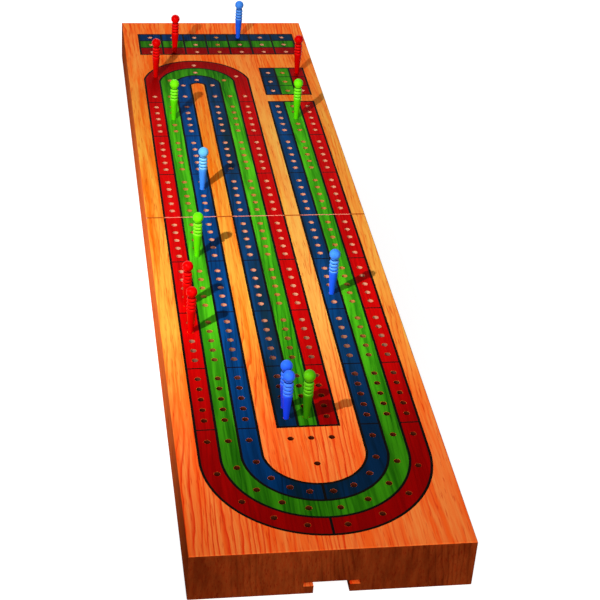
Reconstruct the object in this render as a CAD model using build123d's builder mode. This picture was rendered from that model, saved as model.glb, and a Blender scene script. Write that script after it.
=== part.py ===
"""Three-track continuous cribbage board with a peg drawer that slides in a T-slot under the board.

Units are millimetres. The origin is the centre of the board's underside, +X runs to the right
across the board, +Y away from the drawer's mouth along the board, and +Z up.
"""

import os
from math import cos, radians, sin

from build123d import *

os.makedirs("parts", exist_ok=True)

# ---- Driving dimensions: the board -------------------------------------------------------------
board_width = 97.0
board_length = 423.0
board_thickness = 19.0
edge_round = 0.5
side_margin = 7.25  # bare wood left between the outer lanes and the board's side, on average
layout_shift = 0.8  # the whole layout sits this far right of the board's centre line

# ---- Driving dimensions: the peg holes ---------------------------------------------------------
hole_diameter = 2.3
hole_depth = 7.0
lane_slots = 11  # three groups of three lanes, with a bare strip one lane wide between groups
straight_groups = 7
holes_per_group = 5
group_gap = 0.9  # extra space between two groups, in hole spacings
back_zone = 95.25  # from the back edge to the first straight group
front_zone = 65.25  # from the last straight group to the front edge

games_first_row = 19.6  # from the back edge to the first row of the games tally
games_row_pitch = 9.03
games_columns = 7
start_first_row = 63.3  # from the back edge to the first row of starting holes
start_row_pitch = 10.35
arch_legs_row = 89.8  # from the back edge to the row of holes below the arch
arch_apex = 48.9  # from the back edge to the outer edge of the arch
arch_lane_step = 8.57  # each lane's depth where the arch turns
arch_hole_inset = 0.8
arch_hole_angles = (65.5, 66.7, 80.0)  # red, green and blue lane, either side of the apex

bend_margin = 7.4  # from the outer edge of the front bend to the front edge
bend_lane_step = 8.7
bend_hole_angles = (-79.0, -52.5, -31.5, -13.0, 8.7, 30.0, 53.5, 79.0)  # from the bend's middle
bend_squeeze = 0.97  # the bend's hole circles against the lanes' half spans
row_after_straights = 6.2
finish_hole_step = 14.5  # from that row to the single finishing hole

score_from_back = 207.3  # the scored line that marks the board's middle
score_width = 0.6
score_depth = 0.3

# ---- Driving dimensions: the pegs --------------------------------------------------------------
peg_tip_diameter = 1.6
peg_rim_diameter = 2.1  # where the shaft enters the board
peg_shaft_diameter = 3.65  # under the lowest bead
peg_shaft_length = 10.4
peg_bead_diameter = 3.9
peg_groove_diameter = 3.25
peg_bead_pitch = 1.6
peg_bead_flare = 1.05
peg_bead_lip = 0.1  # the lowest bead stands out of the shaft over this height
peg_beads = 4
peg_neck_diameter = 3.0
peg_neck_height = 0.25
peg_head_diameter = 4.5

# ---- Driving dimensions: the drawer and its T-slot ---------------------------------------------
slot_neck_width = 12.4
slot_wing_width = 19.4
slot_lip_height = 3.2
slot_height = 5.0
slide_clearance = 0.3  # beside the drawer and round its end
roof_clearance = 0.2
floor_clearance = 0.3  # the drawer's underside stays this far above the board's
drawer_setback = 8.0  # the closed drawer's front lies this far inside the mouth
drawer_wall = 1.2
drawer_floor = 0.7
drawer_grip_length = 15.0
drawer_bays = 7
bay_end_play = 0.9
bay_rib = 1.0
bay_corner = 0.8
bead_seat_length = 1.0  # floor left under the lowest bead, which carries the peg
tip_rest_length = 4.5
tip_rest_height = 1.55  # above the bay's floor, so that the head lies low
scoop_radius = 8.0
scoop_depth = 2.6
scoop_width = 8.6
lead_in_round = 1.5

# ---- Worked out from the above: the layout -----------------------------------------------------
back_edge = board_length / 2
front_edge = -board_length / 2
lane_pitch = (board_width - 2 * side_margin) / lane_slots
straight_length = board_length - back_zone - front_zone
group_pitch = straight_length / straight_groups
hole_pitch = group_pitch / (holes_per_group + group_gap)
straight_middle = (back_edge - back_zone + front_edge + front_zone) / 2
games_pitch = lane_slots * lane_pitch / games_columns
last_row = front_edge + front_zone - row_after_straights
hole_radius = hole_diameter / 2
arch_centre_x = layout_shift - 2 * lane_pitch
start_centre_x = layout_shift + 4 * lane_pitch


def arch_hole(lane, side):
    """Place on the back arch: lane 0 is the outer one, side is -1, 0 or 1 from left to right."""
    radius = (3 - lane) * lane_pitch
    centre_y = back_edge - arch_apex - (lane + 0.5) * arch_lane_step - arch_hole_inset - radius
    turn = radians(side * arch_hole_angles[lane])
    return (arch_centre_x + radius * sin(turn), centre_y + radius * cos(turn), board_thickness)


def bend_hole(lane, angle):
    """Place on the front bend, at an angle from its middle: lane 0 is the outer one."""
    radius = (5 - lane) * lane_pitch * bend_squeeze
    centre_y = front_edge + bend_margin + (lane + 0.5) * bend_lane_step + radius
    turn = radians(angle)
    return (layout_shift + radius * sin(turn), centre_y - radius * cos(turn), board_thickness)


def straight_hole(column, group, hole):
    """Place on a straight: column in lanes from the layout's middle, group and hole from the back."""
    group_y = straight_middle + ((straight_groups - 1) / 2 - (group - 1)) * group_pitch
    hole_y = group_y + ((holes_per_group - 1) / 2 - (hole - 1)) * hole_pitch
    return (layout_shift + column * lane_pitch, hole_y)


arch_holes = [arch_hole(lane, side) for lane in range(3) for side in (-1, 0, 1)]
bend_holes = [bend_hole(lane, angle) for lane in range(3) for angle in bend_hole_angles]

# ---- Worked out: the pegs and the drawer -------------------------------------------------------
peg_tip_z = board_thickness - hole_depth
peg_beads_base = hole_depth + peg_shaft_length
peg_neck_base = peg_beads_base + peg_beads * peg_bead_pitch
head_radius = peg_head_diameter / 2
neck_radius = peg_neck_diameter / 2
head_drop = (head_radius**2 - neck_radius**2) ** 0.5
peg_head_centre = peg_neck_base + peg_neck_height + head_drop
peg_length = peg_head_centre + head_radius

bay_length = peg_length + bay_end_play
bay_pitch = bay_length + bay_rib
drawer_neck_width = slot_neck_width - 2 * slide_clearance
drawer_wing_width = slot_wing_width - 2 * slide_clearance
drawer_top = slot_height - roof_clearance
drawer_front = front_edge + drawer_setback
bays_front = drawer_front + drawer_grip_length
bays_back = bays_front + drawer_bays * bay_pitch - bay_rib
# The milling cutter leaves a round end: the slot, the wings and the drawer share its centre.
round_end_y = bays_back + bay_rib
bay_width = drawer_neck_width - 2 * drawer_wall
bay_floor_z = floor_clearance + drawer_floor
tip_rest_z = bay_floor_z + tip_rest_height
bay_trough_length = bay_length - tip_rest_length
head_window_length = bay_length - peg_beads_base - bead_seat_length


def runner(width, front_y):
    """Sketch the plan of a runner that ends in a half circle round the slot's end centre."""
    length = round_end_y - front_y
    with BuildSketch(mode=Mode.PRIVATE) as plan:
        with Locations((0, front_y + length / 2)):
            Rectangle(width, length)
        with Locations((0, round_end_y)):
            Circle(width / 2)
    return plan.sketch


# ---- The board ---------------------------------------------------------------------------------
with BuildPart() as board:
    Box(board_width, board_length, board_thickness, align=(Align.CENTER, Align.CENTER, Align.MIN))
    upright_edges = board.edges().filter_by(Axis.Z)
    top_edges = board.faces().sort_by(Axis.Z)[-1].edges()
    fillet(upright_edges + top_edges, radius=edge_round)

    # T-slot: the neck is open to the underside, the wings carry the drawer's flanges.
    with BuildSketch():
        add(runner(slot_neck_width, front_edge))
    extrude(amount=slot_height, mode=Mode.SUBTRACT)
    with BuildSketch(Plane.XY.offset(slot_lip_height)):
        add(runner(slot_wing_width, front_edge))
    extrude(amount=slot_height - slot_lip_height, mode=Mode.SUBTRACT)

    # Scored line across the top, a shallow V.
    with BuildSketch(Plane.YZ.offset(-board_width / 2)):
        with Locations((back_edge - score_from_back, board_thickness)):
            Polygon(
                (-score_width / 2, 0), (score_width / 2, 0), (0, -score_depth), align=None
            )
    extrude(amount=board_width, mode=Mode.SUBTRACT)

    # Nine straight columns of five-hole groups, then the row that closes each of them.
    with Locations((layout_shift, straight_middle, board_thickness)):
        with GridLocations(4 * lane_pitch, group_pitch, 3, straight_groups):
            with GridLocations(lane_pitch, hole_pitch, 3, holes_per_group):
                Hole(hole_radius, hole_depth)
    with Locations((layout_shift, last_row, board_thickness)):
        with GridLocations(4 * lane_pitch, lane_pitch, 3, 1):
            with GridLocations(lane_pitch, lane_pitch, 3, 1):
                Hole(hole_radius, hole_depth)

    # The arch at the back, its legs, and the bend at the front.
    with Locations((arch_centre_x, back_edge - arch_legs_row, board_thickness)):
        with GridLocations(4 * lane_pitch, lane_pitch, 2, 1):
            with GridLocations(lane_pitch, lane_pitch, 3, 1):
                Hole(hole_radius, hole_depth)
    with Locations(*arch_holes, *bend_holes):
        Hole(hole_radius, hole_depth)

    # Games tally, starting holes and the finishing hole.
    games_middle = back_edge - games_first_row - games_row_pitch
    with Locations((layout_shift, games_middle, board_thickness)):
        with GridLocations(games_pitch, games_row_pitch, games_columns, 3):
            Hole(hole_radius, hole_depth)
    start_middle = back_edge - start_first_row - start_row_pitch
    with Locations((start_centre_x, start_middle, board_thickness)):
        with GridLocations(lane_pitch, start_row_pitch, 3, 3):
            Hole(hole_radius, hole_depth)
    with Locations((layout_shift, last_row - finish_hole_step, board_thickness)):
        Hole(hole_radius, hole_depth)

board.part.label = "board"
export_step(board.part, "parts/board.step")

# ---- The drawer --------------------------------------------------------------------------------
with BuildPart() as peg_drawer:
    with BuildSketch(Plane.XY.offset(floor_clearance)):
        add(runner(drawer_neck_width, drawer_front))
    extrude(amount=drawer_top - floor_clearance)
    with BuildSketch(Plane.XY.offset(slot_lip_height)):
        add(runner(drawer_wing_width, drawer_front))
    extrude(amount=drawer_top - slot_lip_height)
    front_corners = peg_drawer.edges().filter_by(Axis.Z).group_by(Axis.Y)[0]
    fillet(front_corners, radius=lead_in_round)

    # A row of bays, each for two pegs side by side. The tips lie on a rest at the back of the
    # bay, and the heads dip into a window through its floor at the front.
    bays_middle = (bays_front + bays_back) / 2
    pockets = (
        (bay_length, tip_rest_z, drawer_top),
        (bay_trough_length, bay_floor_z, tip_rest_z),
        (head_window_length, floor_clearance, bay_floor_z),
    )
    for pocket_length, pocket_floor_z, pocket_top_z in pockets:
        with BuildSketch(Plane.XY.offset(pocket_floor_z)):
            with Locations((0, bays_middle - (bay_length - pocket_length) / 2)):
                with GridLocations(bay_pitch, bay_pitch, 1, drawer_bays):
                    RectangleRounded(bay_width, pocket_length, bay_corner)
        extrude(amount=pocket_top_z - pocket_floor_z, mode=Mode.SUBTRACT)

    # Finger scoop on the underside of the grip.
    scoop_y = drawer_front + drawer_grip_length / 2
    scoop_axis_z = floor_clearance + scoop_depth - scoop_radius
    with BuildSketch(Plane.YZ.offset(-scoop_width / 2)):
        with Locations((scoop_y, scoop_axis_z)):
            Circle(scoop_radius)
    extrude(amount=scoop_width, mode=Mode.SUBTRACT)

peg_drawer.part.label = "peg_drawer"
export_step(peg_drawer.part, "parts/peg_drawer.step")


# ---- The pegs ----------------------------------------------------------------------------------
def build_peg(x, y):
    """One turned peg, standing in the hole at (x, y) with its tip on the hole's floor."""
    upright = Plane(origin=(x, y, peg_tip_z), x_dir=(1, 0, 0), z_dir=(0, -1, 0))
    bead_radius = peg_bead_diameter / 2
    groove_radius = peg_groove_diameter / 2
    outline = [
        (0, 0),
        (peg_tip_diameter / 2, 0),
        (peg_rim_diameter / 2, hole_depth),
        (peg_shaft_diameter / 2, peg_beads_base - peg_bead_lip),
    ]
    for bead in range(peg_beads):
        base = peg_beads_base + bead * peg_bead_pitch
        outline.append((bead_radius, base))
        outline.append((groove_radius, base + peg_bead_flare))
    outline.append((neck_radius, peg_neck_base))
    outline.append((neck_radius, peg_neck_base + peg_neck_height))
    with BuildPart() as peg:
        with BuildSketch(upright):
            with BuildLine():
                Polyline(*outline)
                ThreePointArc(
                    (neck_radius, peg_neck_base + peg_neck_height),
                    (head_radius, peg_head_centre),
                    (0, peg_length),
                )
                Line((0, peg_length), (0, 0))
            make_face()
        revolve(axis=Axis((x, y, peg_tip_z), (0, 0, 1)))
    return peg.part


games_hole = (layout_shift - 2 * games_pitch, back_edge - games_first_row - 2 * games_row_pitch)
peg_places = {
    "red_peg_1": games_hole,
    "red_peg_2": arch_hole(0, -1)[:2],
    "red_peg_3": (start_centre_x + lane_pitch, back_edge - start_first_row),
    "red_peg_4": straight_hole(-5, 5, 5),
    "red_peg_5": straight_hole(-5, 6, 2),
    "blue_peg_1": (layout_shift + games_pitch, back_edge - games_first_row),
    "blue_peg_2": straight_hole(-3, 3, 2),
    "blue_peg_3": straight_hole(3, 5, 4),
    "blue_peg_4": straight_hole(-1, 7, 4),
    "blue_peg_5": straight_hole(-1, 7, 5),
    "green_peg_1": straight_hole(-4, 1, 3),
    "green_peg_2": straight_hole(4, 1, 3),
    "green_peg_3": straight_hole(-4, 4, 5),
    "green_peg_4": straight_hole(0, 7, 5),
}
for peg_name, place in peg_places.items():
    peg = build_peg(*place)
    peg.label = peg_name
    export_step(peg, f"parts/{peg_name}.step")
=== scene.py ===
from math import asin, cos, hypot, pi, radians, sin

import bpy
from mathutils import Matrix, Vector


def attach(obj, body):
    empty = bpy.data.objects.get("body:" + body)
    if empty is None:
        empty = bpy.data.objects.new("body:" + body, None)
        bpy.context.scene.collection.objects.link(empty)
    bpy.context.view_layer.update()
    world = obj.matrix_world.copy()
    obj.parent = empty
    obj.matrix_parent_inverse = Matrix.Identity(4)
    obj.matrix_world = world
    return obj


# The looks of a three-track cribbage board with a peg drawer: stained wood with its grain, painted
# lanes with black outlines, plastic pegs, a dark brown drawer, and a small photo studio round them.
# The board's layout is in millimetres, as in the CAD source. Places in the materials, and all else
# that is handed to Blender, are in metres.

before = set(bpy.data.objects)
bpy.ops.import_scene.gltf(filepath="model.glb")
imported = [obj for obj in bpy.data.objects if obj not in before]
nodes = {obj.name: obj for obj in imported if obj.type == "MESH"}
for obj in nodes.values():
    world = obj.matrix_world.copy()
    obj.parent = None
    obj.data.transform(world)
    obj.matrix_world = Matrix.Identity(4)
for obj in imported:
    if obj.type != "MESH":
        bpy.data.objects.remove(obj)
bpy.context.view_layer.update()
MM = 0.001

# ---- The board and its hole pattern, repeated from the CAD source ------------------------------
BOARD_WIDTH, BOARD_LENGTH, BOARD_TOP = 97.0, 423.0, 19.0
BACK, FRONT = BOARD_LENGTH / 2, -BOARD_LENGTH / 2
LANE_SLOTS = 11  # three groups of three lanes, with a bare strip one lane wide between groups
PITCH = 7.5  # one lane's width
SHIFT = 0.8  # the layout's middle, right of the board's
GROUPS, HOLES_PER_GROUP = 7, 5
GROUP_GAP = 0.9  # extra space between two groups, in hole spacings
BACK_ZONE, FRONT_ZONE = 95.25, 65.25  # from the board's ends to the straights' groups
ROW_AFTER_STRAIGHTS = 6.2
GROUP_PITCH = (BOARD_LENGTH - BACK_ZONE - FRONT_ZONE) / GROUPS
HOLE_PITCH = GROUP_PITCH / (HOLES_PER_GROUP + GROUP_GAP)
STRAIGHT_MIDDLE = (BACK - BACK_ZONE + FRONT + FRONT_ZONE) / 2
LAST_ROW = FRONT + FRONT_ZONE - ROW_AFTER_STRAIGHTS

ARCH_LEGS_ROW = 89.8  # rows are distances from the back edge
ARCH_APEX, ARCH_LANE_STEP = 48.9, 8.57
ARCH_HOLE_INSET = 0.8
ARCH_HOLE_ANGLES = (65.5, 66.7, 80.0)
BEND_MARGIN, BEND_LANE_STEP = 7.4, 8.7
BEND_SQUEEZE = 0.97  # the bend's hole circles against the lanes' half spans
BEND_HOLE_ANGLES = (-79.0, -52.5, -31.5, -13.0, 8.7, 30.0, 53.5, 79.0)
GAMES_COLUMNS, GAMES_FIRST_ROW, GAMES_ROW_PITCH = 7, 19.6, 9.03
START_FIRST_ROW, START_ROW_PITCH, START_ROWS = 63.3, 10.35, 3
START_COLUMN = 3  # the left one, in lanes from the layout's middle
SCORE_ROW = 207.3
GAMES_PITCH = LANE_SLOTS * PITCH / GAMES_COLUMNS
ARCH_MIDDLE = SHIFT - 2 * PITCH


def from_back(distance):
    """Y of a line that far from the board's back edge."""
    return BACK - distance


def arch_hole(lane, side):
    radius = (3 - lane) * PITCH
    centre_y = from_back(ARCH_APEX + (lane + 0.5) * ARCH_LANE_STEP + ARCH_HOLE_INSET) - radius
    turn = radians(side * ARCH_HOLE_ANGLES[lane])
    return (ARCH_MIDDLE + radius * sin(turn), centre_y + radius * cos(turn))


def bend_hole(lane, angle):
    radius = (5 - lane) * PITCH * BEND_SQUEEZE
    centre_y = FRONT + BEND_MARGIN + (lane + 0.5) * BEND_LANE_STEP + radius
    turn = radians(angle)
    return (SHIFT + radius * sin(turn), centre_y - radius * cos(turn))


def lane_holes(lane):
    """Every hole of one lane: 0 is the outer, red lane, 1 the green one, 2 the inner, blue one."""
    columns = (lane - 5, 1 - lane, 5 - lane)  # left, inner and right straight
    places = []
    for column in columns:
        x = SHIFT + column * PITCH
        for group in range(GROUPS):
            group_y = STRAIGHT_MIDDLE + ((GROUPS - 1) / 2 - group) * GROUP_PITCH
            places += [(x, group_y + (2 - hole) * HOLE_PITCH) for hole in range(HOLES_PER_GROUP)]
        if column != columns[1]:  # the inner straights end before the last row
            places.append((x, LAST_ROW))
    places += [(SHIFT + column * PITCH, from_back(ARCH_LEGS_ROW)) for column in columns[:2]]
    places += [arch_hole(lane, side) for side in (-1, 0, 1)]
    places += [bend_hole(lane, angle) for angle in BEND_HOLE_ANGLES]
    return places


# ---- Paint layout ------------------------------------------------------------------------------
LINE_WIDTH = 0.95  # round every lane and block
THIN_LINE_WIDTH = 0.62  # between the groups of holes
SCORE_GAP = 0.35  # the paint stops this far from the middle of the scored line
HOLE_CUT = 1.2  # radius left clear of paint round a hole
SEPARATOR_ROWS = (131.7, 169.0, 243.7, 281.9, 319.6)
LANES_START, LANES_END = 96.1, 357.15
START_BLOCK = (57.65, 68.0, 78.2, 88.3)
GAMES_BLOCK = (15.5, 23.6, 32.2, 40.5)
ARCH_SPRING, ARCH_SPRING_STEP = 69.9, 2.27  # where the outer arc starts, and each further one
BEND_SPRING, BEND_SPRING_STEP = 375.5, 0.83
BEND_APEX = BOARD_LENGTH - BEND_MARGIN
PAINT_TOP, SEPARATOR_TOP, LINE_TOP = 0.030, 0.036, 0.042  # above the board's top
LANE_NAMES = ("red", "green", "blue")
COLUMNS_LEFT_TO_RIGHT = ("blue", "green", "red")
SEPARATED_LANES = (-5.5, -3.5, -1.5, 0.5, 2.5, 4.5)  # left edges of the red and blue straights
ARC_STEPS, CIRCLE_STEPS = 72, 24


def arc(centre_x, half_span, spring, apex):
    """Points, left to right, of the circular arc through (centre_x +- half_span, spring) and apex."""
    rise = apex - spring
    radius = (half_span**2 + rise**2) / (2 * abs(rise))
    up = 1 if rise > 0 else -1
    half_turn = asin(min(1.0, half_span / radius))
    if abs(rise) > half_span:
        half_turn = pi - half_turn
    centre_y = apex - up * radius
    turns = [half_turn * (2 * step / ARC_STEPS - 1) for step in range(ARC_STEPS + 1)]
    return [(centre_x + radius * sin(turn), centre_y + up * radius * cos(turn)) for turn in turns]


def boundary(edge):
    """The edge line between lanes edge-1 and edge, cut at the scored line into four stretches."""
    above, below = from_back(SCORE_ROW - SCORE_GAP), from_back(SCORE_ROW + SCORE_GAP)
    reach = (5.5 - edge) * PITCH
    right, left, inner = SHIFT + reach, SHIFT - reach, SHIFT + (1.5 - edge) * PITCH
    bend_spring = from_back(BEND_SPRING - BEND_SPRING_STEP * edge)
    bend = arc(SHIFT, reach, bend_spring, bend_line(edge))
    arch_spring = from_back(ARCH_SPRING + ARCH_SPRING_STEP * edge)
    arch_apex = from_back(ARCH_APEX + ARCH_LANE_STEP * edge)
    arch = arc(ARCH_MIDDLE, (3.5 - edge) * PITCH, arch_spring, arch_apex)
    return [
        [(right, from_back(LANES_START)), (right, above)],
        [(right, below)] + bend[::-1] + [(left, below)],
        [(left, above)] + arch + [(inner, above)],
        [(inner, below), (inner, from_back(LANES_END))],
    ]


def bend_line(edge):
    """Y of that edge line where the bend comes nearest to the board's front."""
    return from_back(BEND_APEX - BEND_LANE_STEP * edge)


def stroke(points, width=LINE_WIDTH):
    """The outline of a line of that width along the points."""
    left_side, right_side = [], []
    for place, (x, y) in enumerate(points):
        x0, y0 = points[max(place - 1, 0)]
        x1, y1 = points[min(place + 1, len(points) - 1)]
        length = hypot(x1 - x0, y1 - y0)
        normal_x, normal_y = (y0 - y1) / length, (x1 - x0) / length
        left_side.append((x + normal_x * width / 2, y + normal_y * width / 2))
        right_side.append((x - normal_x * width / 2, y - normal_y * width / 2))
    return left_side + right_side[::-1]


def rectangle(x0, x1, y0, y1):
    return [(x0, y0), (x1, y0), (x1, y1), (x0, y1)]


def row_bar(x0, x1, y, width=LINE_WIDTH):
    """A line across the board, with its ends flush with the outer edges of the lines it meets."""
    return rectangle(x0 - LINE_WIDTH / 2, x1 + LINE_WIDTH / 2, y - width / 2, y + width / 2)


def column_line(x, rows):
    """A line along the board, from the first of the rows to the last."""
    return stroke([(x, from_back(rows[0])), (x, from_back(rows[-1]))])


def hole_cut(centre):
    turns = [2 * pi * step / CIRCLE_STEPS for step in range(CIRCLE_STEPS)]
    return [(centre[0] + HOLE_CUT * cos(turn), centre[1] + HOLE_CUT * sin(turn)) for turn in turns]


def filled_mesh(name, outlines, top):
    """The area of the outlines as a slab from the board's top up to top. An outline inside another
    is a hole in it."""
    curve = bpy.data.curves.new(name, "CURVE")
    curve.dimensions = "2D"
    curve.fill_mode = "BOTH"
    curve.extrude = top / 2 * MM
    for outline in outlines:
        spline = curve.splines.new("POLY")
        spline.points.add(len(outline) - 1)
        for point, (x, y) in zip(spline.points, outline):
            point.co = (x * MM, y * MM, 0, 1)
        spline.use_cyclic_u = True
    holder = bpy.data.objects.new(name, curve)
    bpy.context.scene.collection.objects.link(holder)
    evaluated = holder.evaluated_get(bpy.context.evaluated_depsgraph_get())
    mesh = bpy.data.meshes.new_from_object(evaluated)
    mesh.transform(Matrix.Translation((0, 0, (BOARD_TOP + top / 2) * MM)))
    bpy.data.objects.remove(holder)
    bpy.data.curves.remove(curve)
    return mesh


def film(name, layers, material):
    """One mesh piece on the board's top, made of layers, each a list of outlines and its top."""
    vertices, faces = [], []
    for outlines, top in layers:
        mesh = filled_mesh(name, outlines, top)
        start = len(vertices)
        vertices += [tuple(vertex.co) for vertex in mesh.vertices]
        faces += [[start + corner for corner in face.vertices] for face in mesh.polygons]
    joined = bpy.data.meshes.new(name)
    joined.from_pydata(vertices, [], faces)
    joined.update()
    piece = bpy.data.objects.new(name, joined)
    bpy.context.scene.collection.objects.link(piece)
    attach(piece, "board")
    finish(piece, material)


def finish(piece, material):
    piece.data.materials.clear()
    piece.data.materials.append(material)


# ---- Node trees --------------------------------------------------------------------------------
BLACK, WHITE = (0.0, 0.0, 0.0, 1.0), (1.0, 1.0, 1.0, 1.0)


class Tree:
    """Adds nodes to a tree. An input takes a plain value or another node's output."""

    def __init__(self, tree):
        self.tree = tree

    def add(self, kind, inputs=(), **settings):
        node = self.tree.nodes.new(kind)
        for name, value in settings.items():
            setattr(node, name, value)
        for key, value in dict(inputs).items():
            socket = node.inputs[key]
            if isinstance(value, bpy.types.NodeSocket):
                self.tree.links.new(value, socket)
            else:
                socket.default_value = value
        return node

    def math(self, operation, a, b=0.0):
        return self.add("ShaderNodeMath", {0: a, 1: b}, operation=operation).outputs[0]

    def product(self, first, *others):
        for other in others:
            first = self.math("MULTIPLY", first, other)
        return first

    def total(self, first, *others):
        for other in others:
            first = self.math("ADD", first, other)
        return first

    def size(self, value):
        return self.math("ABSOLUTE", value)

    def wrap(self, value, reach):
        """The value brought between -reach and reach by whole steps of twice that."""
        return self.add("ShaderNodeMath", {0: value, 1: reach, 2: -reach}, operation="WRAP").outputs[0]

    def vector(self, operation, a, b):
        return self.add("ShaderNodeVectorMath", {0: a, 1: b}, operation=operation).outputs[0]

    def ramp(self, value, low, high, to_low=0.0, to_high=1.0):
        """Smooth step from to_low, where value is low or less, to to_high where it is high or more."""
        sockets = {0: value, 1: low, 2: high, 3: to_low, 4: to_high}
        return self.add("ShaderNodeMapRange", sockets, interpolation_type="SMOOTHSTEP").outputs[0]

    def fade(self, value, low, high):
        """1 where value is low or less, and 0 where it is high or more."""
        return self.ramp(value, low, high, 1.0, 0.0)

    def window(self, value, rising, falling):
        """1 between the ramps rising and falling, each given as the values where it starts and ends."""
        return self.product(self.ramp(value, *rising), self.fade(value, *falling))

    def mix(self, factor, a, b, blend="MIX"):
        sockets = {0: factor, 6: a, 7: b}
        return self.add("ShaderNodeMix", sockets, data_type="RGBA", blend_type=blend).outputs[2]

    def noise(self, place, stretch, detail=2.0, roughness=0.5):
        """Noise whose blobs are 1/stretch metres wide along each axis: its value and its colour."""
        scaled = self.vector("MULTIPLY", place, stretch)
        sockets = {"Vector": scaled, "Scale": 1.0, "Detail": detail, "Roughness": roughness}
        return self.add("ShaderNodeTexNoise", sockets).outputs

    def split(self, place):
        return self.add("ShaderNodeSeparateXYZ", {0: place}).outputs

    def join(self, x, y, z):
        return self.add("ShaderNodeCombineXYZ", {0: x, 1: y, 2: z}).outputs[0]

    def bump(self, height, distance):
        sockets = {"Height": height, "Strength": 1.0, "Distance": distance}
        return self.add("ShaderNodeBump", sockets).outputs[0]


def shader(name, build, **constants):
    """A material with one Principled shader. build(tree) returns the sockets that vary."""
    material = bpy.data.materials.new(name)
    tree = cleared_tree(material)
    principled = tree.add("ShaderNodeBsdfPrincipled", constants)
    for key, socket in build(tree).items():
        material.node_tree.links.new(socket, principled.inputs[key])
    tree.add("ShaderNodeOutputMaterial", {0: principled.outputs[0]})
    return material


def cleared_tree(holder):
    """The empty node tree of a material or a world."""
    holder.use_nodes = True
    holder.node_tree.nodes.clear()
    return Tree(holder.node_tree)


def linear(red, green, blue):
    """An sRGB colour, 0 to 255, as Blender's linear RGBA."""
    values = [c / 255 for c in (red, green, blue)]
    return (*[c / 12.92 if c <= 0.04045 else ((c + 0.055) / 1.055) ** 2.4 for c in values], 1.0)


def darker(colour, share):
    """That share of a linear colour."""
    return (*[share * channel for channel in colour[:3]], 1.0)


# ---- The timber's figure -----------------------------------------------------------------------
FACES_TURN = (0.6, 0.8)  # how squarely a face looks along an axis before it is that side's face
DRIFT_BACK, DRIFT_FRONT = (0.040, 0.200), (-0.065, -0.165)  # where the face turns redder and darker: partly the stain, partly painted shade
SWAYS = (  # how finely the grain sways, along each axis, and how far
    ((11, 4, 11), 0.014),
    ((75, 13, 75), 0.0036),
    ((320, 90, 320), 0.0007),
)
WILDER_AT_THE_BACK = 1.2
END_GRAIN_DEPTH = 0.25  # the end face shows its figure stretched upright
NOISE_SPREAD, FIBRE_SPREAD = (0.3, 0.7), (0.35, 0.75)  # where most of their values lie

PITH_X, PITH_Z, PITH_SLANT = -0.110, -0.035, 0.05
RINGS_PER_METRE = 560.0
UNEVEN_RINGS, UNEVEN_REACH = (85, 7, 85), 4.0
LATE_RISE, LATE_FALL = (0.50, 0.90), (0.92, 1.0)  # late wood's part of each ring
LINE_PATCHES = (90, 16, 90)
STREAKS, FIBRES, PORES = (300, 10, 300), (1500, 60, 1500), (2300, 120, 2300)
LINE_RELIEF = 0.6  # of a ring's line, beside the fibres'

PALE_STRIP = ((0.009, 0.015), (0.018, 0.028))  # paler timber under the right bare strip
PALE_MARGIN, PALE_MARGIN_SHARE = (0.037, 0.043), 0.5
DULL_AND_SHADE_FROM = (-0.014, -0.008)  # where the paints turn duller: painted shade on the red, a darker teal on the blue
LESS_DULL_AND_SHADE_FROM, LESS_DULL_AND_SHADE_SHARE = (0.008, 0.018), 0.65
DULL_AND_SHADE_PATCHES = (130, 14, 130)


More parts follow.
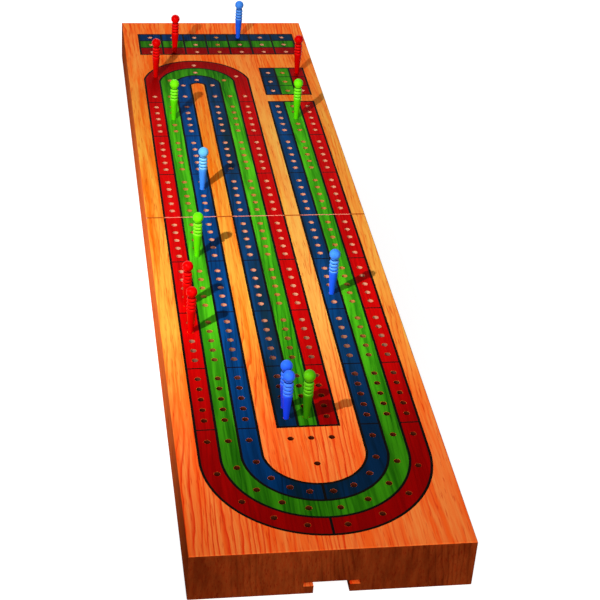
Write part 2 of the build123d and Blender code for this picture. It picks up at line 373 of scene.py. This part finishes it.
def grain_group():
    """The timber's figure, shared by the bare wood and by the stains over it."""
    group = bpy.data.node_groups.new("timber_grain", "ShaderNodeTree")
    tree = Tree(group)
    coordinates = tree.add("ShaderNodeTexCoord")
    x, y, z = tree.split(coordinates.outputs["Object"])
    normal_y = tree.split(coordinates.outputs["Normal"])[1]
    end = tree.ramp(tree.size(normal_y), *FACES_TURN)
    flat_z = tree.product(z, tree.ramp(end, 0.0, 1.0, 1.0, END_GRAIN_DEPTH))
    place = tree.join(x, y, flat_z)

    back = tree.ramp(y, *DRIFT_BACK)
    bent = place
    for stretch, reach in SWAYS:
        shift = tree.vector("SUBTRACT", tree.noise(place, stretch, 1.0)[1], (0.5, 0.5, 0.5))
        wilder = tree.total(tree.product(back, WILDER_AT_THE_BACK * reach), reach)
        sway = tree.vector("MULTIPLY", shift, tree.join(wilder, 0.0, wilder))
        bent = tree.vector("ADD", bent, sway)
    bent_x, _, bent_z = tree.split(bent)

    # Growth rings round a pith that ran beside the board, at a slant.
    across = tree.math("SUBTRACT", bent_x, tree.total(tree.product(y, PITH_SLANT), PITH_X))
    deep = tree.math("SUBTRACT", bent_z, PITH_Z)
    squared = tree.total(tree.product(across, across), tree.product(deep, deep))
    rings = tree.product(tree.math("SQRT", squared), RINGS_PER_METRE)
    uneven = tree.product(tree.noise(place, UNEVEN_RINGS)[0], UNEVEN_REACH)
    ring = tree.math("FRACT", tree.total(rings, uneven))
    patch = tree.ramp(tree.noise(place, LINE_PATCHES, 3.0)[0], 0.38, 0.62)
    line = tree.product(tree.window(ring, LATE_RISE, LATE_FALL), patch)

    streak = tree.ramp(tree.noise(bent, STREAKS, 4.0, 0.62)[0], 0.36, 0.64)
    fibre = tree.noise(place, FIBRES, 2.0, 0.6)[0]
    pore = tree.ramp(tree.noise(place, PORES, 1.0)[0], 0.62, 0.72)
    relief = tree.math("SUBTRACT", tree.total(fibre, tree.product(line, LINE_RELIEF)), pore)
    pale_margin = tree.ramp(bent_x, *PALE_MARGIN, 0.0, PALE_MARGIN_SHARE)
    # Where the paints turn duller: painted shade on the red, a darker teal on the blue.
    dull_and_shade = tree.product(
        tree.ramp(bent_x, *DULL_AND_SHADE_FROM),
        tree.ramp(bent_x, *LESS_DULL_AND_SHADE_FROM, 1.0, LESS_DULL_AND_SHADE_SHARE),
        tree.ramp(tree.noise(bent, DULL_AND_SHADE_PATCHES)[0], 0.38, 0.60, 0.50, 1.0),
    )
    figure = {
        "Line": line,
        "Streak": streak,
        "Fibre": fibre,
        "Pore": pore,
        "Relief": relief,
        "End": end,
        "Front": tree.ramp(y, *DRIFT_FRONT),
        "Back": back,
        "Pale": tree.total(tree.window(bent_x, *PALE_STRIP), pale_margin),
        "DullAndShade": dull_and_shade,
    }
    out = tree.add("NodeGroupOutput")
    for name in figure:
        group.interface.new_socket(name, in_out="OUTPUT", socket_type="NodeSocketFloat")
    for name, socket in figure.items():
        group.links.new(socket, out.inputs[name])
    return group


GRAIN = grain_group()


def grain(tree):
    return tree.add("ShaderNodeGroup", node_tree=GRAIN).outputs


def tinted(tree, base, figure, tints):
    """The base colour under tints, each one an output of the figure, its strength and its colour."""
    for output, strength, colour in tints:
        base = tree.mix(tree.product(figure[output], strength), base, colour)
    return base


# ---- Bare wood ---------------------------------------------------------------------------------
HONEY, ORANGE = linear(252, 182, 66), linear(250, 124, 20)  # the middle's plain timber and streaks
MIDDLE_TINTS = (("Pale", 0.75, linear(255, 196, 92)), ("Line", 0.60, linear(240, 84, 12)))
EMBER, EMBER_DEEP = linear(255, 138, 62), linear(255, 100, 30)  # the same toward both ends, redder and darker: the stain's colour with painted shade
END_TINTS = (("Line", 0.90, linear(232, 46, 6)),)
BACK_REDNESS = 0.85  # against the front's
# The long sides' darker colour toward both ends is painted shade.
SIDE, SIDE_SHADED, SIDE_LINE = linear(255, 126, 58), linear(140, 54, 16), linear(190, 70, 24)
SIDE_SHADE_BACK, SIDE_SHADE_FRONT = (0.0, 0.28), (-0.02, -0.24)
END_GRAIN, END_GRAIN_DARK = linear(142, 58, 20), linear(90, 28, 6)
END_BANDS = (55, 1, 26)
FIBRE_WOOD, PORE_WOOD = linear(252, 146, 76), linear(222, 80, 22)
WOOD_ROUGHNESS, WOOD_RELIEF = (0.72, 0.88), 0.00004

HOLE_WOOD, HOLE_WOOD_GREEN = linear(228, 162, 130), linear(200, 134, 70)
# The front holes' dark colour is painted shade.
HOLE_SHADE_FRONT, HOLES_SHADED = linear(84, 30, 14), (-0.055, -0.125)
INSIDE_X = ((BOARD_WIDTH / 2 - 0.7) * MM, (BOARD_WIDTH / 2 - 0.3) * MM)  # within the outer faces
INSIDE_Y = ((BACK - 0.7) * MM, (BACK - 0.3) * MM)
INSIDE_Z = ((0.0110, 0.0114), (0.01885, 0.01895))  # from below the holes to just under the top
GREEN_LANE = (0.45 * PITCH * MM, 0.55 * PITCH * MM)  # half a lane's width from its middle

SCORE_PAINTED, SCORE_BARE = linear(222, 132, 108), linear(176, 78, 22)
SCORE_WIDTH, HAIR = 0.00045, 0.00015
SCORE_DEPTH = (0.0170, 0.0172)


def long_side_colour(tree, figure, y):
    """The board's two long sides, darker toward both ends as painted shade."""
    painted_shade = tree.math("MAXIMUM", tree.ramp(y, *SIDE_SHADE_BACK), tree.ramp(y, *SIDE_SHADE_FRONT))
    side = tree.mix(painted_shade, SIDE, SIDE_SHADED)
    return tree.mix(tree.product(figure["Line"], 0.45), side, SIDE_LINE, "MULTIPLY")


def face_colour(tree, figure):
    """The playing face: orange in the middle, redder and darker toward both ends, partly painted shade."""
    middle = tinted(tree, tree.mix(figure["Streak"], HONEY, ORANGE), figure, MIDDLE_TINTS)
    ends = tinted(tree, tree.mix(figure["Streak"], EMBER, EMBER_DEEP), figure, END_TINTS)
    # Partly painted shade: the face turns redder and darker toward both ends.
    stain_and_shade = tree.math("MAXIMUM", figure["Front"], tree.product(figure["Back"], BACK_REDNESS))
    return tree.mix(stain_and_shade, middle, ends)


def end_colour(tree, figure, place):
    """The sawn ends, in broad upright bands."""
    band = tree.ramp(tree.noise(place, END_BANDS)[0], 0.36, 0.62)
    shade = tree.total(tree.product(figure["Line"], 0.30), tree.product(figure["Streak"], 0.40))
    shade = tree.total(shade, tree.product(band, 0.40))
    return tree.mix(shade, END_GRAIN, END_GRAIN_DARK)


def wood(tree):
    figure = grain(tree)
    coordinates = tree.add("ShaderNodeTexCoord").outputs
    x, y, z = tree.split(coordinates["Object"])
    normal_x = tree.split(coordinates["Normal"])[0]
    upright = tree.ramp(tree.size(normal_x), *FACES_TURN)
    colour = tree.mix(upright, face_colour(tree, figure), long_side_colour(tree, figure, y))
    colour = tree.mix(figure["End"], colour, end_colour(tree, figure, coordinates["Object"]))
    colour = tree.mix(tree.ramp(figure["Fibre"], *FIBRE_SPREAD, 0.0, 0.40), colour, FIBRE_WOOD, "MULTIPLY")
    colour = tree.mix(tree.product(figure["Pore"], 0.50), colour, PORE_WOOD, "MULTIPLY")

    # Paler wood inside the holes; the front ones darkened as painted shade.
    inside = tree.product(
        tree.fade(tree.size(x), *INSIDE_X),
        tree.fade(tree.size(y), *INSIDE_Y),
        tree.window(z, *INSIDE_Z),
    )
    from_green_lane = tree.size(tree.wrap(tree.math("SUBTRACT", x, SHIFT * MM), 2 * PITCH * MM))
    hole_wood = tree.mix(tree.ramp(from_green_lane, *GREEN_LANE), HOLE_WOOD_GREEN, HOLE_WOOD)
    hole_wood = tree.mix(tree.ramp(y, *HOLES_SHADED), hole_wood, HOLE_SHADE_FRONT)
    colour = tree.mix(inside, colour, hole_wood)

    # The scored line shows pale between the lanes' paints, and dark on the bare wood.
    from_score = tree.size(tree.math("SUBTRACT", y, from_back(SCORE_ROW) * MM))
    scored = tree.fade(from_score, SCORE_WIDTH - HAIR, SCORE_WIDTH + HAIR)
    scored = tree.product(scored, tree.ramp(z, *SCORE_DEPTH))
    lanes_reach = 1.5 * PITCH * MM
    painted = tree.fade(from_green_lane, lanes_reach - HAIR, lanes_reach + HAIR)
    colour = tree.mix(scored, colour, tree.mix(painted, SCORE_BARE, SCORE_PAINTED))
    return {
        "Base Color": colour,
        "Roughness": tree.ramp(figure["Fibre"], *NOISE_SPREAD, *WOOD_ROUGHNESS),
        "Normal": tree.bump(figure["Relief"], WOOD_RELIEF),
    }


# ---- Paints ------------------------------------------------------------------------------------
FIBRE_SHADE = (0.4, 0.4, 0.4, 1.0)
LESS_LIGHT_IN_FRONT, LESS_LIGHT_AT_THE_BACK = 0.60, 0.60
DULL_SHADED_IN_FRONT = 0.4  # the dull colour's share that is left there, as painted shade
STAIN_ROUGHNESS, STAIN_RELIEF = (0.50, 0.64), 0.00003
INK, INK_WORN = linear(6, 5, 5), linear(22, 16, 12)
INK_ROUGHNESS, INK_RELIEF = (0.40, 0.60), 0.00002


def stain(main, deep, grainy):
    """A translucent colour over the wood: grainy is how strongly the grain shows."""

    def build(tree):
        figure = grain(tree)
        shade = tree.total(tree.product(figure["Line"], 0.45), tree.product(figure["Streak"], 0.75))
        colour = tree.mix(tree.product(shade, grainy), main, deep)
        fibres = tree.ramp(figure["Fibre"], *FIBRE_SPREAD, 0.0, 0.35 * grainy)
        colour = tree.mix(fibres, colour, FIBRE_SHADE, "MULTIPLY")
        colour = tree.mix(tree.product(figure["Front"], LESS_LIGHT_IN_FRONT), colour, BLACK)
        darkened = tree.ramp(figure["Back"], 0.2, 1.0, 0.0, LESS_LIGHT_AT_THE_BACK)
        return {
            "Base Color": tree.mix(darkened, colour, BLACK),
            "Roughness": tree.ramp(figure["Fibre"], *NOISE_SPREAD, *STAIN_ROUGHNESS),
            "Normal": tree.bump(figure["Relief"], STAIN_RELIEF),
        }

    return build


def dulled(build, dull, amount):
    """Paint duller right of the left straight: painted shade on the red, a darker teal on the blue."""

    def mixed(tree):
        sockets = build(tree)
        figure = grain(tree)
        # Painted shade: the dull colour darker toward the front, and on the red the whole duller patch.
        shaded = tree.mix(figure["Front"], dull, darker(dull, DULL_SHADED_IN_FRONT))
        part = tree.product(figure["DullAndShade"], amount)
        sockets["Base Color"] = tree.mix(part, sockets["Base Color"], shaded)
        return sockets

    return mixed


def ink(tree):
    fibre = grain(tree)["Fibre"]
    return {
        "Base Color": tree.mix(fibre, INK, INK_WORN),
        "Roughness": tree.ramp(fibre, *NOISE_SPREAD, *INK_ROUGHNESS),
        "Normal": tree.bump(fibre, INK_RELIEF),
    }


# ---- Plastics ----------------------------------------------------------------------------------
FLOW_MARKS, FINE_MARKS = (160, 160, 60), (2600, 2600, 1300)
PLASTIC_ROUGHNESS, PLASTIC_RELIEF = (0.26, 0.38), 0.000012
SHAFT_SHADE_HEIGHTS = (0.0270, 0.0345)  # heights between which the shaft's painted shade gives way
BEADS_FROM, BEADS_TO, BEAD_PITCH = 0.0294, 0.0358, 0.0016
FOOT_EDGE, TOP_EDGE = 0.0001, 0.0003  # heights in which the beads' colours set in and end
CREST_HIGHLIGHT = ((0.25, 0.45), (0.60, 0.70))  # parts of one bead's pitch, upward from its foot, that get a painted highlight
# Where in a bead's pitch the painted shade of the groove above it starts.
GROOVE_SHADE = (0.62, 0.74)
GROOVE_SHADE_DARKNESS = 0.20  # the shaft colour's share that is left there, as painted shade


def peg_tint(tree, colour, height, shaft, crest_highlight):
    """Painted shade toward a peg's tip and between its beads, and a painted highlight on their tops."""
    # Painted shade: the shaft darker toward the tip.
    colour = tree.mix(tree.ramp(height, *SHAFT_SHADE_HEIGHTS, 0.85, 0.0), colour, shaft)
    beaded = tree.window(height, (BEADS_FROM, BEADS_FROM + FOOT_EDGE), (BEADS_TO, BEADS_TO + TOP_EDGE))
    from_foot = tree.math("SUBTRACT", height, BEADS_FROM)
    turn = tree.math("FRACT", tree.math("DIVIDE", from_foot, BEAD_PITCH))
    # Painted highlight on the beads' tops, and painted shade in the grooves between them.
    colour = tree.mix(tree.product(tree.window(turn, *CREST_HIGHLIGHT), beaded, 0.75), colour, crest_highlight)
    groove_shade = tree.product(tree.ramp(turn, *GROOVE_SHADE), beaded, 0.90)
    return tree.mix(groove_shade, colour, darker(shaft, GROOVE_SHADE_DARKNESS))


def plastic(lit, mark, *peg_colours):
    """Moulded plastic: faint flow marks in the colour and a slightly uneven gloss. A peg's has its
    shaft's painted shade and its beads' painted highlight and painted shade as well."""

    def build(tree):
        place = tree.add("ShaderNodeTexCoord").outputs["Object"]
        flow = tree.noise(place, FLOW_MARKS)[0]
        colour = tree.mix(tree.ramp(flow, 0.35, 0.65), lit, mark)
        if peg_colours:
            colour = peg_tint(tree, colour, tree.split(place)[2], *peg_colours)
        return {
            "Base Color": colour,
            "Roughness": tree.ramp(flow, *NOISE_SPREAD, *PLASTIC_ROUGHNESS),
            "Normal": tree.bump(tree.noise(place, FINE_MARKS, 1.0)[0], PLASTIC_RELIEF),
        }

    return build


# ---- Materials ---------------------------------------------------------------------------------
WOOD_GLOSS = {"Specular IOR Level": 0.001}
PAINT_GLOSS = {"Specular IOR Level": 0.004}
PLASTIC_GLOSS = {"Specular IOR Level": 0.03}

board_wood = shader("board_wood", wood, **WOOD_GLOSS)
red_stain = stain(linear(232, 4, 3), linear(186, 1, 3), 0.8)
green_stain = stain(linear(86, 206, 24), linear(30, 120, 8), 1.0)
blue_stain = stain(linear(6, 80, 154), linear(3, 42, 84), 0.9)
paints = {
    "red": shader("red_paint", dulled(red_stain, linear(120, 2, 3), 0.2), **PAINT_GLOSS),
    "green": shader("green_paint", green_stain, **PAINT_GLOSS),
    "blue": shader("blue_paint", dulled(blue_stain, linear(16, 42, 50), 0.9), **PAINT_GLOSS),
}
black_ink = shader("black_ink", ink, **PAINT_GLOSS)
drawer_brown = plastic(linear(97, 78, 62), linear(84, 66, 52))
drawer_plastic = shader("drawer_plastic", drawer_brown, **PLASTIC_GLOSS)
PEG_COLOURS = {  # lit parts, flow marks, the shaft's painted shade and the beads' painted highlight
    "red": (linear(236, 0, 0), linear(214, 0, 0), linear(206, 0, 0), linear(255, 18, 14)),
    "green": (linear(122, 246, 14), linear(100, 228, 10), linear(84, 214, 4), linear(150, 255, 60)),
    # A darker green as painted shade, for the front green peg.
    "shaded_green": (linear(92, 186, 12), linear(76, 168, 6), linear(40, 122, 2), linear(112, 206, 40)),
    "azure": (linear(72, 150, 255), linear(52, 124, 248), linear(22, 86, 246), linear(118, 184, 255)),
    "blue": (linear(58, 120, 255), linear(40, 100, 250), linear(8, 46, 240), linear(86, 146, 255)),
    "sky": (linear(108, 196, 255), linear(88, 176, 250), linear(52, 130, 248), linear(158, 222, 255)),
}
PEG_SHADES = {  # the pegs that aren't simply red, green or blue
    "blue_peg_1": "azure",
    "blue_peg_2": "sky",
    "blue_peg_3": "azure",
    # green_peg_4, at the front, has the darker green as painted shade.
    "green_peg_4": "shaded_green",
}
peg_plastics = {
    name: shader(f"{name}_peg_plastic", plastic(*colours), **PLASTIC_GLOSS)
    for name, colours in PEG_COLOURS.items()
}

finish(nodes["board"], board_wood)
finish(nodes["peg_drawer"], drawer_plastic)
for node_name, node in nodes.items():
    if "_peg_" in node_name:
        finish(node, peg_plastics[PEG_SHADES.get(node_name, node_name.split("_")[0])])

# ---- Paint films -------------------------------------------------------------------------------
lane_edges = [boundary(edge) for edge in range(len(LANE_NAMES) + 1)]
games_edges = [
    SHIFT + (column / GAMES_COLUMNS - 0.5) * LANE_SLOTS * PITCH for column in range(GAMES_COLUMNS + 1)
]
games_columns = [SHIFT + (column - 3) * GAMES_PITCH for column in range(GAMES_COLUMNS)]
start_columns = [SHIFT + (START_COLUMN + column) * PITCH for column in range(3)]
start_edges = [SHIFT + (START_COLUMN - 0.5 + column) * PITCH for column in range(4)]


def lane_paint(lane, colour_name):
    """One colour's paint: its lane, its row of the games tally and its column of starting holes."""
    ribbons = [outer + inner[::-1] for outer, inner in zip(lane_edges[lane], lane_edges[lane + 1])]
    cuts = [hole_cut(place) for place in lane_holes(lane)]

    games_row = 2 - lane  # the blue row is the back one
    row_back, row_front = [from_back(row) for row in GAMES_BLOCK[games_row : games_row + 2]]
    ribbons.append(rectangle(games_edges[0], games_edges[-1], row_front, row_back))
    games_y = from_back(GAMES_FIRST_ROW + games_row * GAMES_ROW_PITCH)
    cuts += [hole_cut((x, games_y)) for x in games_columns]

    column = COLUMNS_LEFT_TO_RIGHT.index(colour_name)
    left, right = start_edges[column : column + 2]
    ribbons.append(rectangle(left, right, from_back(START_BLOCK[3]), from_back(START_BLOCK[0])))
    start_rows = [from_back(START_FIRST_ROW + row * START_ROW_PITCH) for row in range(START_ROWS)]
    cuts += [hole_cut((start_columns[column], y)) for y in start_rows]
    film(f"{colour_name}_lane_paint", [(ribbons + cuts, PAINT_TOP)], paints[colour_name])


def separators(columns, row):
    """Thin lines over the lanes whose left edges are the columns, at that distance from the back."""
    y = from_back(row)
    return [row_bar(x, x + PITCH, y, THIN_LINE_WIDTH) for x in columns]


def lane_outlines():
    """The black lines. Lines that cross are in two layers, since closed outlines in one may not."""
    start_left, start_right = start_edges[0], start_edges[-1]
    long_lines = [stroke(stretch) for edge in lane_edges for stretch in edge]
    long_lines += [row_bar(games_edges[0], games_edges[-1], from_back(row)) for row in GAMES_BLOCK]
    long_lines += [column_line(x, START_BLOCK) for x in start_edges]

    cross_lines = [column_line(x, GAMES_BLOCK) for x in games_edges]
    for row in START_BLOCK[::3]:
        cross_lines.append(row_bar(start_left, start_right, from_back(row)))
    for row in START_BLOCK[1:3]:
        cross_lines.append(row_bar(start_left, start_right, from_back(row), THIN_LINE_WIDTH))
    straights = [SHIFT + edge * PITCH for edge in SEPARATED_LANES]
    for row in SEPARATOR_ROWS:
        cross_lines += separators(straights, row)
    cross_lines += separators(straights[:4], LANES_START)
    cross_lines += separators(straights[:2] + straights[4:], LANES_END)
    cross_lines.append(row_bar(start_left, start_right, from_back(LANES_START)))
    inner_reach = 1.5 * PITCH
    cross_lines.append(row_bar(SHIFT - inner_reach, SHIFT + inner_reach, from_back(LANES_END)))
    for edge in (0, 2):  # the bend's middle, across the red and the blue lane
        cross_lines.append(stroke([(SHIFT, bend_line(edge)), (SHIFT, bend_line(edge + 1))]))
    film("lane_outlines", [(long_lines, LINE_TOP), (cross_lines, SEPARATOR_TOP)], black_ink)


for lane, colour_name in enumerate(LANE_NAMES):
    lane_paint(lane, colour_name)
lane_outlines()

# ---- Studio ------------------------------------------------------------------------------------
FLOOR_SIZE, FLOOR_DROP = 6.0, 0.0001
FLOOR_GREY, FLOOR_GLOW = (0.40, 0.40, 0.40, 1.0), 0.88
WORLD_FILL = 0.06


def background_rays(tree):
    """1 for the rays that see the background, as it is or in gloss or glass, and 0 for lighting."""
    path = tree.add("ShaderNodeLightPath").outputs
    seen = tree.math("MAXIMUM", path["Is Camera Ray"], path["Is Glossy Ray"])
    return tree.math("MAXIMUM", seen, path["Is Transmission Ray"])


def floor_paper():
    """White paper to the eye, and grey paper to the light that it sends back."""
    material = bpy.data.materials.new("floor_paper")
    tree = cleared_tree(material)
    paper = tree.add("ShaderNodeBsdfDiffuse", {"Color": FLOOR_GREY}).outputs[0]
    glow = tree.add("ShaderNodeEmission", {"Color": WHITE, "Strength": FLOOR_GLOW}).outputs[0]
    glowing = tree.add("ShaderNodeAddShader", {0: paper, 1: glow}).outputs[0]
    pick = tree.add("ShaderNodeMixShader", {0: background_rays(tree), 1: paper, 2: glowing})
    tree.add("ShaderNodeOutputMaterial", {0: pick.outputs[0]})
    return material


def white_world():
    world = bpy.data.worlds.new("studio")
    tree = cleared_tree(world)
    strength = tree.total(tree.product(background_rays(tree), 1.0 - WORLD_FILL), WORLD_FILL)
    backdrop = tree.add("ShaderNodeBackground", {"Color": WHITE, "Strength": strength})
    tree.add("ShaderNodeOutputWorld", {0: backdrop.outputs[0]})
    return world


def lamp(name, kind, place, aim, watts, **settings):
    data = bpy.data.lights.new(name, kind)
    data.energy = watts
    for key, value in settings.items():
        setattr(data, key, value)
    light = bpy.data.objects.new(name, data)
    bpy.context.scene.collection.objects.link(light)
    light.location = place
    light.rotation_mode = "QUATERNION"
    light.rotation_quaternion = (Vector(aim) - Vector(place)).to_track_quat("-Z", "Y")


bpy.ops.mesh.primitive_plane_add(size=FLOOR_SIZE, location=(0, 0, -FLOOR_DROP))
floor = bpy.context.object
floor.name = "studio_floor"
finish(floor, floor_paper())
bpy.context.scene.world = white_world()

lamp(
    "key", "SPOT", place=(-0.211, -0.237, 0.284), aim=(0.150, 0.400, 0.019), watts=8.1,
    shadow_soft_size=0.004, spot_size=radians(116), spot_blend=1.0,
)
lamp(
    "front_fill", "AREA", place=(0.020, -0.400, 0.160), aim=(0.0, -0.200, 0.010), watts=0.62,
    size=0.2,
)
lamp(
    "back_fill", "AREA", place=(0.050, 0.400, 0.190), aim=(0.0, 0.180, 0.010), watts=0.60,
    size=0.2,
)
lamp(
    "side_fill", "AREA", place=(-0.420, -0.060, 0.130), aim=(-0.048, -0.035, 0.010), watts=0.13,
    size=0.15,
)

# ---- Camera, at the photograph's viewing angle -------------------------------------------------
CAMERA_PLACE = Vector((-0.0900, -0.59665, 0.37572))
CAMERA_RIGHT = Vector((0.98781, -0.14245, 0.06273))
CAMERA_UP = Vector((0.02673, 0.55225, 0.83325))
CAMERA_BACKWARD = Vector((-0.15334, -0.82142, 0.54933))
LENS, SENSOR_WIDTH = 95.984, 36.0  # millimetres
CLIP_END = 20.0

camera_data = bpy.data.cameras.new("camera")
camera_data.lens = LENS
camera_data.sensor_width = SENSOR_WIDTH
camera_data.clip_end = CLIP_END
camera = bpy.data.objects.new("camera", camera_data)
bpy.context.scene.collection.objects.link(camera)
camera_axes = Matrix((CAMERA_RIGHT, CAMERA_UP, CAMERA_BACKWARD)).transposed()
camera.matrix_world = Matrix.Translation(CAMERA_PLACE) @ camera_axes.to_4x4()
bpy.context.scene.camera = camera
bpy.context.scene.view_settings.view_transform = "Standard"
